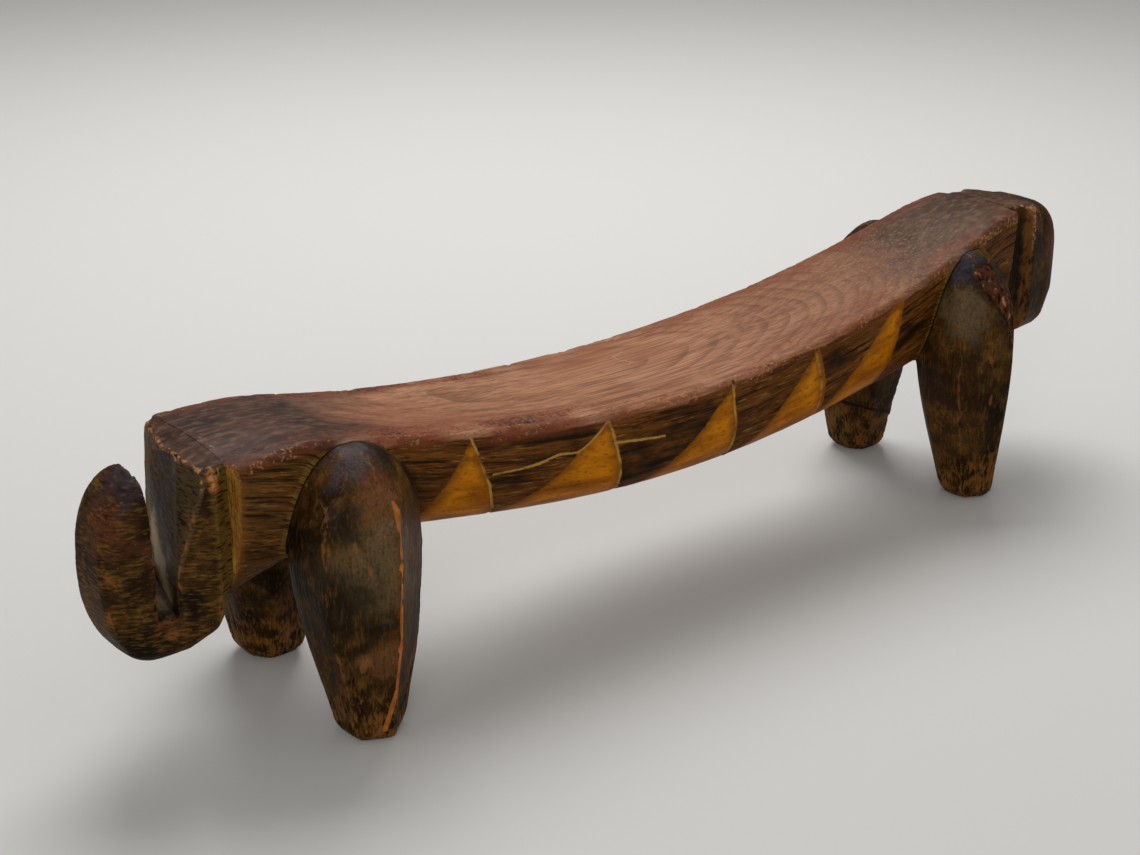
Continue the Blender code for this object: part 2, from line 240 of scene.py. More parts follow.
def measured(pen, name):
    """A number that was stored on the points of a piece."""
    if pen.tree.type == "GEOMETRY":
        return pen.node("GeometryNodeInputNamedAttribute", {"data_type": "FLOAT"}, {0: name})
    return pen.node("ShaderNodeAttribute", {"attribute_name": name}, out=2)


def srgb(red, green, blue):
    """Colour as a picture editor shows it, 0 to 255, turned into light."""
    shares = [channel / 255 for channel in (red, green, blue)]
    return (*[s / 12.92 if s < 0.04045 else ((s + 0.055) / 1.055) ** 2.4 for s in shares], 1.0)


print("small words ready")

# %% [markdown]
# ## A skin that can be carved
# The solids have long thin triangles, and marks can't be cut into those. So each node's mesh is
# copied, its loose triangles are merged, and a Remesh modifier lays an even grid of small squares
# over it. A knife mark needs two or three squares across, which sets the grid: the long beam gets
# larger squares, to keep each piece under 200,000 triangles.

# %% Skin
MERGE = 0.000002
BEAM_GRID = 0.00098
LEG_GRID = 0.00050
END_GRID = 0.00048


def made_plain(piece):
    """Turns what the modifiers make into the piece's own mesh."""
    graph = bpy.context.evaluated_depsgraph_get()
    mesh = bpy.data.meshes.new_from_object(
        piece.evaluated_get(graph), preserve_all_data_layers=True, depsgraph=graph
    )
    piece.modifiers.clear()
    piece.data = mesh


def skin(node, grid):
    """A copy of a node's solid in even small squares."""
    mesh = bpy.data.meshes.new(node)
    bm = bmesh.new()
    bm.from_mesh(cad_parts[node].data)
    bmesh.ops.remove_doubles(bm, verts=bm.verts, dist=MERGE)
    bm.to_mesh(mesh)
    bm.free()
    piece = bpy.data.objects.new("carved_" + node, mesh)
    bpy.context.scene.collection.objects.link(piece)
    remesh = piece.modifiers.new("even grid", "REMESH")
    remesh.mode = "VOXEL"
    remesh.voxel_size = grid
    made_plain(piece)
    print(piece.name, "has", len(piece.data.polygons), "squares")
    return piece


beam = skin("seat_beam", BEAM_GRID)
head = skin("head", END_GRID)
tail = skin("tail", END_GRID)
legs = {node: skin(node, LEG_GRID) for node in sorted(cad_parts) if node.endswith("_leg")}
foot = skin("rear_right_foot", LEG_GRID)

# %% [markdown]
# ## A measure on the skin
# The pattern on the beam runs round its side, so it needs to know how far round a point lies. That is
# an angle about the line of the seat's edge: 0 at the edge and 1 at the keel. It is worked out with
# NumPy and stored on the points, so that trees and materials can read it by name.

# %% Turn round the beam
EDGE_DROP = 0.0030
SLICE = 0.004


def points_of(piece):
    flat = np.empty(len(piece.data.vertices) * 3, np.float32)
    piece.data.vertices.foreach_get("co", flat)
    return flat.reshape(-1, 3).astype(float)


def store(piece, name, values):
    layer = piece.data.attributes.new(name, "FLOAT", "POINT")
    layer.data.foreach_set("value", values.astype(np.float32))


def highest_along(points):
    """Top height of a long piece as stations along X and heights."""
    step = np.round(points[:, 0] / SLICE).astype(int)
    slices = np.unique(step)
    return slices * SLICE, np.array([points[step == s, 2].max() for s in slices])


points = points_of(beam)
stations, tops = highest_along(points)
edge = np.interp(points[:, 0], stations, tops) - EDGE_DROP
store(beam, "turn", np.arctan2(edge - points[:, 2], np.abs(points[:, 1])) / (math.pi / 2))
print("turn stored on", len(points), "points of the beam")

# %% [markdown]
# ## Marks of the tools
# The seat's sides show long strokes that follow the beam, the legs show flat knife cuts from tip to
# sole, and the head shows rows of fine level strokes. Such marks follow a rule over the whole
# surface, so a geometry tree makes them. It lays the grid close on the solid, eases it, shaves flat
# cuts off, and pushes each point in along its normal by a depth. The solids keep a small gap where
# they touch, but the real joints are tight. So points close to a neighbour are drawn to the middle
# of that gap, and no mark is cut there.
#
# The tree also measures three things for the paint. `ridge` says how far a point stands out from its
# neighbourhood, which is where hands rub the dark off, `joint` says how far the next piece is, and
# `up` says how much the surface faces up. The sizes are named inputs of the tree, and every noise
# has its own fixed seed.

# %% The carving tree
RIDGE_STEPS = 14
JOINT_LOW = 0.0006
JOINT_HIGH = 0.0020
HALF_GAP = 0.00015
DRAW_FADE = 1.4
SHARP_ANGLE = math.radians(38)


def scaled(share, vector):
    return share.node("ShaderNodeVectorMath", {"operation": "SCALE"}, {0: vector, 3: share})


def carve(piece, sizes, marks, ease, neighbours, drawn, wood, cuts=()):
    """Shaves flat cuts off a piece, then carves it by the depth that marks(place, ridge, sizes) gives.

    ease is the number of smoothing steps before that, and each cut is a direction and a distance.
    Points nearer than drawn to a neighbour are drawn to it.
    """
    tree = bpy.data.node_groups.new(piece.name + " carving", "GeometryNodeTree")
    plan = tree.interface
    plan.new_socket("Geometry", in_out="INPUT", socket_type="NodeSocketGeometry")
    inputs = [plan.new_socket(n, in_out="INPUT", socket_type="NodeSocketFloat") for n in sizes]
    stain = plan.new_socket("Wood", in_out="INPUT", socket_type="NodeSocketMaterial")
    plan.new_socket("Geometry", in_out="OUTPUT", socket_type="NodeSocketGeometry")

    pen = Field(tree)
    flow, *values = pen.node("NodeGroupInput", out=slice(len(sizes) + 2))
    place = pen.node("GeometryNodeInputPosition")
    normal = pen.node("GeometryNodeInputNormal")
    solids = [pen.node("GeometryNodeObjectInfo", {}, {0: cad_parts[n]}, out=4) for n in neighbours]
    others = pen.node("GeometryNodeJoinGeometry", {}, {0: solids})
    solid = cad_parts[piece.name.removeprefix("carved_")]
    own = pen.node("GeometryNodeObjectInfo", {}, {0: solid}, out=4)
    close = pen.node("GeometryNodeProximity", {"target_element": "FACES"}, {0: own})
    touch, gap = pen.node("GeometryNodeProximity", {"target_element": "FACES"}, {0: others}, out=slice(2))
    free = between(gap, JOINT_LOW, JOINT_HIGH)
    pull = between(gap, drawn * DRAW_FADE, drawn) * (1 - HALF_GAP / gap.most(HALF_GAP))

    def smooth(steps):
        return pen.node("GeometryNodeBlurAttribute", {"data_type": "FLOAT_VECTOR"}, {0: place, 1: steps})

    flow = pen.node("GeometryNodeSetPosition", {}, {0: flow, 2: close})
    meeting = scaled(pull, place.vector("SUBTRACT", touch, place))
    flow = pen.node("GeometryNodeSetPosition", {}, {0: flow, 3: meeting})
    eased = scaled(free, place.vector("SUBTRACT", smooth(ease), place))
    flow = pen.node("GeometryNodeSetPosition", {}, {0: flow, 3: eased})
    shaved = place
    for direction, distance in cuts:
        over = (shaved.vector("DOT_PRODUCT", shaved, direction, out=1) - distance).most(0) * free
        shaved = shaved.vector("SUBTRACT", shaved, scaled(over, direction))
    flow = pen.node("GeometryNodeSetPosition", {}, {0: flow, 2: shaved})
    ridge = place.vector("DOT_PRODUCT", place.vector("SUBTRACT", place, smooth(RIDGE_STEPS)), normal, out=1)
    depth = marks(place, ridge, dict(zip(sizes, values))) * free
    flow = pen.node("GeometryNodeSetPosition", {}, {0: flow, 3: scaled(0 - depth, normal)})
    for name, value in (("ridge", ridge / MM), ("joint", gap / MM), ("up", split(normal)[2])):
        flow = pen.node("GeometryNodeStoreNamedAttribute", {}, {0: flow, 2: name, 3: value})
    flow = pen.node("GeometryNodeSetShadeSmooth", {}, {0: flow})
    bend = pen.node("GeometryNodeInputMeshEdgeAngle")
    corner = bend.math("GREATER_THAN", bend, SHARP_ANGLE) * (1 - free)
    flow = pen.node("GeometryNodeSetShadeSmooth", {"domain": "EDGE"}, {0: flow, 1: corner, 2: False})
    flow = pen.node("GeometryNodeRealizeInstances", {}, {0: flow})
    flow = pen.node("GeometryNodeSetMaterial", {}, {0: flow, 2: values[-1]})
    pen.node("NodeGroupOutput", {}, {0: flow}, out=slice(0))

    modifier = piece.modifiers.new("carving", "NODES")
    modifier.node_group = tree
    for socket, value in zip(inputs, sizes.values()):
        modifier[socket.identifier] = value
    modifier[stain.identifier] = wood
    made_plain(piece)
    print(piece.name, "carved with", len(tree.nodes), "nodes:", sizes)


# %% Flat knife cuts
GOLDEN_ANGLE = math.pi * (3 - math.sqrt(5))
ANGLE_SLACK = 0.5
SHALLOWEST = 0.5
AHEAD_SHARE = 0.3


def flat_cuts(piece, count, seed, tilts, depth, ahead=0):
    """Planes round a piece, each of which shaves up to depth off the outermost point on its side.

    tilts are the lowest and highest angle at which the planes look up. Planes that look away from
    ahead, which is -1 or 1 along X, are left out.
    """
    draw = np.random.default_rng(seed)
    points = points_of(piece)
    cuts = []
    for number in range(count):
        way = GOLDEN_ANGLE * number + draw.uniform(0.0, ANGLE_SLACK)
        tilt = draw.uniform(*tilts)
        direction = (math.cos(way) * math.cos(tilt), math.sin(way) * math.cos(tilt), math.sin(tilt))
        shaved = depth * draw.uniform(SHALLOWEST, 1.0)
        if ahead == 0 or ahead * direction[0] >= AHEAD_SHARE:
            cuts.append((direction, float((points @ direction).max()) - shaved))
    return cuts


def flat_through(points, mirror):
    """The plane through three points, listed so that it looks out; mirror puts it on the other side."""
    first, second, third = [Vector(p) for p in points]
    direction = (second - first).cross(third - first).normalized()
    distance = direction.dot(first)
    return (direction.x, direction.y * mirror, direction.z), distance


print("flat cuts lie", round(math.degrees(GOLDEN_ANGLE)), "degrees apart")

# %% [markdown]
# ## The zigzag on the beam's sides
# A row of tall triangles was left pale on each side, with its lines cut by a knife. Each triangle
# hangs from the seat's edge: its left side runs far back and its right side stands nearly upright.
# The two sides are straight lines in length and turn, and they bend only because the belly does. One
# function gives the distance to the nearest side and to the nearest cut line. The carving tree uses
# it to scrape and cut, and the paint uses it for the colour.

# %% Distance to the triangles and to their lines
GIRTH = 0.045
BASE_TURN = 0.84
WOBBLE = 0.0030
THIN_LINE = 0.0007
NO_LINE = -0.02
LINE_OVERRUN = 0.0006
# Where the tip hangs and how far over the edge in turn, how far the left and right sides run per
# unit of turn, and the line's inset
TRIANGLES = (
    (-0.0990, 0.00, 0.025, 0.023, 0.0002),
    (-0.0430, 0.00, 0.055, 0.021, 0.0005),
    (0.0147, 0.00, 0.051, 0.014, 0.0006),
    (0.0590, 0.00, 0.046, 0.020, 0.0020),
    (0.1085, 0.12, 0.051, -0.003, NO_LINE),
)


def triangles(place, turn):
    """How far inside a triangle, how far from its left side, and how far from a cut line, in metres."""
    x = split(place)[0] + (noise(place, 0.018, 11.0) - 0.5) * WOBBLE
    inside = left_side = line = None
    for tip, over, left_run, right_run, inset in TRIANGLES:
        left = (x - tip + (turn + over) * left_run) * (GIRTH / math.hypot(GIRTH, left_run))
        right = (tip - x + (turn + over) * right_run) * (GIRTH / math.hypot(GIRTH, right_run))
        one = left.least(right).least((BASE_TURN - turn) * GIRTH)
        lines = (abs(left) + THIN_LINE).least(abs(right - inset))
        lines = lines.most(0 - one - LINE_OVERRUN).most(0 - turn * GIRTH)
        near = left.least(right)
        inside = one if inside is None else inside.most(one)
        left_side = near if left_side is None else left_side.most(near)
        line = lines if line is None else line.least(lines)
    return inside, left_side, line


print(len(TRIANGLES), "triangles on each side")

# %% [markdown]
# ## Scratches, worn lines and patches
# Some marks are not a pattern: two long scratches cross the zigzag, the outer edge of the front leg is
# rubbed down to a thin coppery line, and dust, soot, painted sheen and painted shade lie in patches. A
# scratch or a worn edge is a path of a few points on the surface, and a patch is one point and a
# radius. The distance to them is worked out with vector sums, and again both the carving and the
# paint can use it.

# %% Distance to a path, and patches
SCRATCHES = (
    ((-0.0897, -0.0278, 0.0714), (-0.0795, -0.0286, 0.0707), (-0.0695, -0.0294, 0.0711),
     (-0.0635, -0.0300, 0.0722), (-0.0555, -0.0302, 0.0709), (-0.0511, -0.0308, 0.0732),
     (-0.0470, -0.0312, 0.0763), (-0.0441, -0.0314, 0.0796)),
    ((-0.0396, -0.0310, 0.0706), (-0.0288, -0.0311, 0.0689), (-0.0172, -0.0312, 0.0674)),
)
SIDE_ON = (1.0, 0.2, 1.0)
TOP_SCRATCH = (
    (0.0016, 0.0136, 0.0819), (-0.0048, 0.0118, 0.0819), (-0.0053, 0.0079, 0.0820),
    (-0.0026, 0.0027, 0.0820), (-0.0060, 0.0020, 0.0820),
)
PATCH_RIM = (1.2, 0.4)
RIM_SLACK = 2.4


def near_path(place, path):
    """Distance in metres to a line through some points."""
    nearest = None
    for start, end in zip(path, path[1:]):
        run = Vector(end) - Vector(start)
        off = place.vector("SUBTRACT", place, start)
        share = place.vector("DOT_PRODUCT", off, run / run.length_squared, out=1).most(0).least(1)
        gap = place.vector("DISTANCE", off, scaled(share, run), out=1)
        nearest = gap if nearest is None else nearest.least(gap)
    return nearest


def near_scratch(place):
    """Distance to the scratches as seen from the side, so that hollows don't hide them."""
    flat = place.vector("MULTIPLY", place, SIDE_ON)
    paths = [[tuple(a * b for a, b in zip(p, SIDE_ON)) for p in path] for path in SCRATCHES]
    return near_path(flat, paths[0]).least(near_path(flat, paths[1]))


def patched(colour, place, ragged, patches, mirror=1):
    """Lays soft patches (centre, radius, tint, share) over a colour; ragged is a noise for their rims."""
    for (x, y, z), radius, tint, share in patches:
        gap = place.vector("DISTANCE", place, (x, y * mirror, z), out=1) / radius
        colour = mix(between(gap + (ragged - 0.5) * RIM_SLACK, *PATCH_RIM) * share, colour, tint)
    return colour


print(len(SCRATCHES) + 1, "scratches")

# %% [markdown]
# ## The wood itself
# All pieces come from one log, so one function gives its figure to every material. The log's middle
# runs along the stool below the seat and slants down to the rear. Growth rings are circles round that
# line. Over the front of the seat they run along it, and where the rear of the seat climbs through
# them they come out as nested curves. Fibres are a noise that is stretched along the log, and pores
# are short dark dashes.

# %% Growth rings, fibres and pores
PITH_SIDE = 0.004
PITH_HEIGHT = 0.042
PITH_SLANT = -0.07
RING_WIDTH = 0.0020
RING_SLACK = 1.2
DRIFT_ACROSS = 0.012
DRIFT_UP = 0.006
GLOSS = 1.09
COAT_ROUGHNESS = 0.30


def log_figure(place):
    """(rings, fibres, pores), each from 0 to 1."""
    x, y, z = split(place)
    drift = noise(place, 0.05, 1.0, long=(3, 1, 1)) - 0.5
    across = y - PITH_SIDE + drift * DRIFT_ACROSS
    up = z - PITH_HEIGHT - x * PITH_SLANT + drift * DRIFT_UP
    radius = (across * across + up * up) ** 0.5
    growth = radius / RING_WIDTH + noise(place, 0.03, 2.0, long=(4, 1, 1)) * RING_SLACK
    year = growth.math("FRACT", growth)
    rings = between(year, 0.45, 0.94) * between(year, 1.0, 0.95)
    fibres = noise(place, 0.0006, 3.0, long=(70, 1, 1), detail=4.0)
    pores = between(noise(place, 0.0004, 4.0, long=(22, 1, 1)), 0.62, 0.70)
    return rings, fibres, pores


def finish(name, paint, coat):
    """A material whose colour, roughness and height in metres come from paint(place, ridge, joint)."""
    wood = bpy.data.materials.new(name)
    wood.use_nodes = True
    shader = wood.node_tree.nodes["Principled BSDF"]
    pen = Field(wood.node_tree)
    place = pen.node("ShaderNodeTexCoord", out=3)
    colour, roughness, height = paint(place, measured(pen, "ridge"), measured(pen, "joint"))
    relief = pen.node("ShaderNodeBump", {}, {0: 1.0, 1: 1.0, 3: height})
    for socket, field in (("Base Color", colour), ("Roughness", roughness), ("Normal", relief)):
        wood.node_tree.links.new(field.socket, shader.inputs[socket])
    shader.inputs["IOR"].default_value = GLOSS
    shader.inputs["Coat Weight"].default_value = coat
    shader.inputs["Coat Roughness"].default_value = COAT_ROUGHNESS
    print(name, "has", len(wood.node_tree.nodes), "nodes")
    return wood


# %% [markdown]
# ## The seat beam
# The seat's top is bare wood, rubbed smooth, with a red worn edge. Its sides were scorched black-brown
# and cut with long strokes that follow the edge. Strokes are a noise on the unrolled side, which is
# length by way round, so they bend with the belly. The same noise colours them, a little finer than
# the grid can hold. Near the two ends the top is darker, as hands and smoke left it.

# %% Marks on the seat
FRONT_WALL = (-0.140, -0.160)
FRONT_MIDDLE = -0.150
FRONT_LEAN = 0.30
SIDE_SHARE = 0.2
LINE_CORE = 0.0003


def unrolled(place, turn):
    """Place on the flattened side of the beam: length, way round, and a little of its own side."""
    x, y = split(place)[:2]
    lean = between(x, *FRONT_WALL) * (x - FRONT_MIDDLE) * FRONT_LEAN
    return combine(x, turn * GIRTH - lean, y * SIDE_SHARE)


def side_strokes(place, turn):
    """Long cuts along the side, from 0 to 1."""
    return noise(unrolled(place, turn), 0.0017, 21.0, long=(18, 1, 1), detail=5.0)


def seat_marks(place, ridge, size):
    turn = measured(place, "turn")
    side = between(turn, 0.0, 0.16)
    inside, _, line = triangles(place, turn)
    bare = between(inside, -0.0004, 0.0006)
    strokes = between(side_strokes(place, turn), 0.62, 0.38) * size["Stroke depth"]
    lines = between(line, size["Line width"], LINE_CORE) * size["Line depth"]
    scratch = between(near_scratch(place), size["Line width"], LINE_CORE) * size["Line depth"]
    rim = between(abs(turn + 0.02), 0.09, 0.03)
    chips = between(noise(place, size["Chip width"], 22.0, long=(2.0, 1, 1), detail=3.0), 0.52, 0.64)
    waves = noise(place, 0.020, 23.0, long=(2.0, 1, 1)) - 0.5
    cut = strokes * (1 - bare) + bare * size["Scraped depth"] + lines.most(scratch)
    return side * cut + rim * chips * size["Chip depth"] + waves * size["Wave depth"]


SEAT_SIZES = {
    "Stroke depth": 0.0005,
    "Line width": 0.0010,
    "Line depth": 0.0004,
    "Scraped depth": 0.0002,
    "Chip width": 0.0040,
    "Chip depth": 0.0005,
    "Wave depth": 0.0008,
}
print("seat marks:", SEAT_SIZES)

# %% Paint of the seat's top
SEAT_LIGHT = srgb(180, 130, 98)
SEAT_DEEP = srgb(124, 80, 56)
SEAT_RED = srgb(142, 86, 58)
RING_BROWN = srgb(100, 62, 44)
PORE = srgb(84, 52, 36)
FRONT_PURPLE = srgb(70, 49, 41)
STAIN = srgb(30, 22, 20)
SMOKE_PALE = srgb(142, 110, 94)
REAR_BROWN = srgb(74, 53, 38)
FLECK = srgb(164, 132, 100)
EDGE_RED = srgb(122, 62, 36)
# Where each end starts to go dark and is all dark, and how far the front one slants across
FRONT_DARK = (-0.116, -0.150)
FRONT_SLANT = 0.317
REAR_DARK = (0.100, 0.160)
FLECKED = 0.122


def bare_top(place):
    """(colour, fibres) of the seat's top: bare wood, dark at the front end and brown at the rear one."""
    x, y = split(place)[:2]
    rings, fibres, pores = log_figure(place)
    broad = noise(place, 0.0028, 40.0, long=(40, 1, 1), detail=4.0)
    top = mix(between(fibres * 0.6 + broad * 0.4, 0.38, 0.66), SEAT_LIGHT, SEAT_DEEP)
    top = mix(between(noise(place, 0.04, 41.0, long=(2.2, 1, 1)), 0.42, 0.66) * 0.6, top, SEAT_RED)
    top = mix(rings * between(noise(place, 0.02, 45.0), 0.30, 0.60) * 0.5, top, RING_BROWN)
    top = mix(pores * 0.6, top, PORE)
    top = mix(between(x, 0.0, 0.11) * 0.42, top, RING_BROWN)
    grime = noise(place, 0.012, 43.0, long=(2, 1, 1), detail=7.0)
    ragged = (noise(place, 0.022, 42.0, long=(2, 1, 1), detail=6.0) - 0.5) * 0.07
    smoky = mix(between(fibres * 0.3 + grime * 0.7, 0.42, 0.60), FRONT_PURPLE, STAIN)
    front = between(x - y * FRONT_SLANT + ragged, *FRONT_DARK)
    top = mix(front * 0.9, top, smoky)
    rear = between(x + ragged, *REAR_DARK)
    top = mix(rear * 0.85, top, mix(between(grime, 0.42, 0.66) * 0.7, REAR_BROWN, STAIN))
    flecks = between(noise(place, 0.0008, 44.0, long=(2, 1, 1), detail=4.0), 0.54, 0.68)
    top = mix(flecks * between(abs(x - FLECKED), 0.045, 0.012) * 0.55, top, FLECK)
    mottle = noise(place, 0.0022, 53.0, long=(2.2, 1, 1), detail=8.0)
    ends = (front + rear).least(1)
    top = mix(ends * between(mottle, 0.48, 0.68) * 0.30, top, SMOKE_PALE)
    top = mix(ends * between(mottle, 0.50, 0.34) * 0.35, top, STAIN)
    specks = between(noise(place, 0.0016, 52.0, detail=5.0), 0.63, 0.70) * (front * 0.5 + 0.12)
    return mix(specks, top, EDGE_RED), fibres


print("front end dark from", FRONT_DARK[0], "m, rear end from", REAR_DARK[0], "m")

# %% Paint of the beam's sides
SCORCH = srgb(30, 18, 7)
SCORCH_BROWN = srgb(94, 53, 14)
WALL_BROWN = srgb(88, 58, 28)
STREAK = srgb(122, 74, 24)
HAIR = srgb(140, 104, 56)
HONEY = srgb(206, 126, 6)
HONEY_DEEP = srgb(142, 78, 4)
OCHRE = srgb(122, 92, 38)
END_OLIVE = srgb(140, 106, 40)
BEAM_END = (-0.1822, -0.1836)


def scorched_side(place, turn, joint):
    """Colour of the sides: scorched brown, cut by black strokes and pale hairs."""
    x = split(place)[0]
    strip = unrolled(place, turn)
    strokes = side_strokes(place, turn)
    char = noise(strip, 0.012, 46.0, long=(2.5, 1, 1), detail=7.0)
    low = between(turn, 0.30, 0.75)
    front = between(x, *FRONT_WALL)
    brown = mix(front, SCORCH_BROWN, WALL_BROWN)
    side = mix(between(char - low * 0.06 - front * 0.06, 0.45, 0.67), brown, SCORCH)
    side = mix(between(strokes, 0.50, 0.66) * between(char, 0.68, 0.50) * 0.6, side, STREAK)
    hairs = noise(strip, 0.0005, 47.0, long=(12, 1, 1), detail=4.0)
    side = mix(between(hairs, 0.57, 0.66) * between(char, 0.64, 0.46) * 0.75, side, HAIR)
    side = mix(between(strokes, 0.47, 0.38) * (1 - low * 0.5) * 0.9, side, SCORCH)
    side = mix(between(hairs, 0.46, 0.36) * 0.7, side, SCORCH)
    outline = between(joint + (char - 0.5) * 4, 2.2, 0.8) * between(hairs, 0.35, 0.55)
    side = mix(outline * 0.75, side, OCHRE)
    upright = noise(place, 0.0006, 54.0, long=(1, 1, 14), detail=4.0)
    end = mix(between(upright, 0.56, 0.42), END_OLIVE, STREAK)
    end = mix(between(upright, 0.42, 0.32), end, SCORCH)
    return mix(between(x, *BEAM_END), side, end)


def honey_wood(place, turn, left_side, blotch):
    """Colour of the triangles: honey, stippled, and smudged along their left sides and the edge."""
    honey = mix(between(blotch + turn * 0.25, 0.42, 0.78), HONEY, HONEY_DEEP)
    stipple = noise(unrolled(place, turn), 0.0008, 55.0, long=(2.5, 1, 1), detail=5.0)
    honey = mix(between(stipple, 0.50, 0.68) * 0.55, honey, SCORCH_BROWN)
    smudge = between(left_side + (blotch - 0.5) * 0.020, 0.0045, -0.0010) + between(turn, 0.10, 0.0)
    smudge = (smudge + between(blotch, 0.58, 0.70) * 0.6).least(1)
    return mix(smudge * 0.75, honey, SCORCH_BROWN)


print("sides scorched, triangles honey, end olive from", BEAM_END[0], "m")

# %% Paint of the seat's worn edge
# Pale chips, partly a painted highlight on ridges and rubbed edges
PALE_CHIPS_AND_HIGHLIGHTS = srgb(180, 132, 92)
EDGE_OCHRE = srgb(150, 112, 66)
CORNER_BROWN = srgb(112, 68, 26)
# Middle of each stretch of the edge that is rubbed most, where it fades out and where it is full
FRESH_EDGE = (-0.095, 0.075, 0.035)
REAR_EDGE = (0.110, 0.055, 0.030)
CHIPPED_EDGE = (0.110, 0.140)
FRONT_CORNER = (-0.1790, -0.1815)


def stretch(x, middle, faded, full):
    """1 along a stretch of X and 0 beyond it."""
    return between(abs(x - middle), faded, full)


def worn_edge(colour, place, turn, side, ridge, joint, grain):
    """Lays the red worn edge, soot, pale specks and chips over a colour of the beam."""
    x = split(place)[0]
    rubbed = noise(place, 0.010, 51.0, long=(2, 1, 1), detail=6.0)
    away = between(joint, 0.8, 2.0)
    fresh = stretch(x, *FRESH_EDGE)
    wear = 0.35 + fresh * 0.5 + stretch(x, *REAR_EDGE) * 0.2
    rim = between(turn, -0.12, -0.045) * between(turn, 0.08, 0.0) * wear
    colour = mix(rim * between(rubbed, 0.34, 0.56) * away, colour, EDGE_RED)
    soot = between(grain * 0.6 + rubbed * 0.4, 0.50, 0.58) * fresh * between(turn, -0.10, -0.05)
    colour = mix(soot * (1 - side) * 0.7, colour, STAIN)
    specks = between(grain + (rubbed - 0.5) * 0.6, 0.56, 0.68) * between(turn, 0.12, 0.06)
    # Pale chips on the edge's ridges, partly a painted highlight
    colour = mix(between(ridge, 0.20, 0.40) * away * specks * 0.6, colour, PALE_CHIPS_AND_HIGHLIGHTS)
    chipped = between(grain + (rubbed - 0.5) * 0.8, 0.48, 0.60) * between(x, *CHIPPED_EDGE)
    colour = mix(chipped * between(abs(turn - 0.02), 0.06, 0.03) * away * 0.75, colour, EDGE_OCHRE)
    corner = between(x, *FRONT_CORNER) * between(ridge + (rubbed - 0.5) * 0.6, 0.05, 0.30)
    return mix(corner * between(turn, 0.06, 0.14) * away * 0.5, colour, CORNER_BROWN)


print("edge worn most about", FRESH_EDGE[0], "m and", REAR_EDGE[0], "m")

# %% Paint of the whole beam
INCISED = srgb(178, 136, 66)
HOLES = (
    ((-0.0732, -0.0251, 0.0854), 0.0011, STAIN, 0.9),
    ((0.0144, -0.0320, 0.0803), 0.0011, STAIN, 0.9),
)
CUT_RIM = (0.00078, 0.00036)
SCRATCH_RIM = (0.00070, 0.00030)
SCAR_RIM = (0.0006, 0.0002)
SEAT_COAT = 0.06
SEAT_EASE = 3
SEAT_DRAWN = 0.0014


def seat_paint(place, ridge, joint):
    turn = measured(place, "turn")
    top, fibres = bare_top(place)
    grain = noise(place, 0.0011, 48.0, detail=4.0)
    inside, left_side, line = triangles(place, turn)
    bare = between(inside + (grain - 0.5) * 0.0010, -0.0003, 0.0004)
    blotch = noise(unrolled(place, turn), 0.005, 49.0, long=(5, 1, 1), detail=6.0)
    honey = honey_wood(place, turn, left_side, blotch)
    ragged = (grain - 0.5) * 0.0009
    cut = between(line + ragged, *CUT_RIM) * between(blotch, 0.34, 0.54)
    scratch = between(near_scratch(place) + ragged, *SCRATCH_RIM) * between(blotch, 0.20, 0.40)
    cut = cut.most(scratch)
    flank = mix(cut * 0.9, mix(bare, scorched_side(place, turn, joint), honey), INCISED)

    uneven = (noise(place, 0.006, 50.0, long=(3, 1, 1), detail=5.0) - 0.5) * 0.10
    side = between(turn + uneven, -0.004, 0.020)
    colour = worn_edge(mix(side, top, flank), place, turn, side, ridge, joint, grain)
    scar = between(near_path(place, TOP_SCRATCH) + (grain - 0.5) * 0.0020, *SCAR_RIM)
    colour = patched(mix(scar * 0.8, colour, FLECK), place, grain, HOLES)

    roughness = 0.42 + side * 0.20 + (fibres - 0.5) * 0.30 - bare * side * 0.10
    strokes = side_strokes(place, turn)
    relief = (1 - bare) * strokes * 0.0008 + bare * blotch * 0.0004 - cut * 0.0003
    height = fibres * 0.00014 + side * relief
    return colour, roughness, height


seat_wood = finish("seat wood", seat_paint, SEAT_COAT)
AROUND_SEAT = [n for n in sorted(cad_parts) if n not in ("seat_beam", "rear_right_foot")]
carve(beam, SEAT_SIZES, seat_marks, SEAT_EASE, AROUND_SEAT, SEAT_DRAWN, seat_wood)

# %% [markdown]
# ## Old dark wood
# Legs, head and tail share one finish: wood that was scorched, oiled and handled until it went nearly
# black. It is built in layers, from large to small. Wide clouds set how black it is, listed patches
# wear through to brown and lay dust, soot, painted sheen and painted shade on it, fine strokes of the
# knife lie over them, and tan flecks show where the skin has chipped. Only the smallest layer has hard
# rims, because wide hard blotches look like camouflage.

# %% Layers of old dark wood
NEAR_BLACK = srgb(26, 17, 7)
DARK_BROWN = srgb(58, 38, 14)
MID_BROWN = srgb(104, 68, 26)
OLIVE = srgb(126, 94, 44)
TAN_FLECK = srgb(146, 106, 66)
RED_BROWN = srgb(98, 54, 34)
DARK_RED = srgb(74, 40, 30)
# A painted sheen on dark tops: purple for reflected sky
SHEEN_PURPLE = srgb(50, 41, 46)
# Dust with a painted sheen in it: the grey haze on the legs' facets
DUST_AND_SHEEN = srgb(110, 92, 66)
WORN = srgb(124, 82, 48)
COPPER = srgb(190, 112, 52)


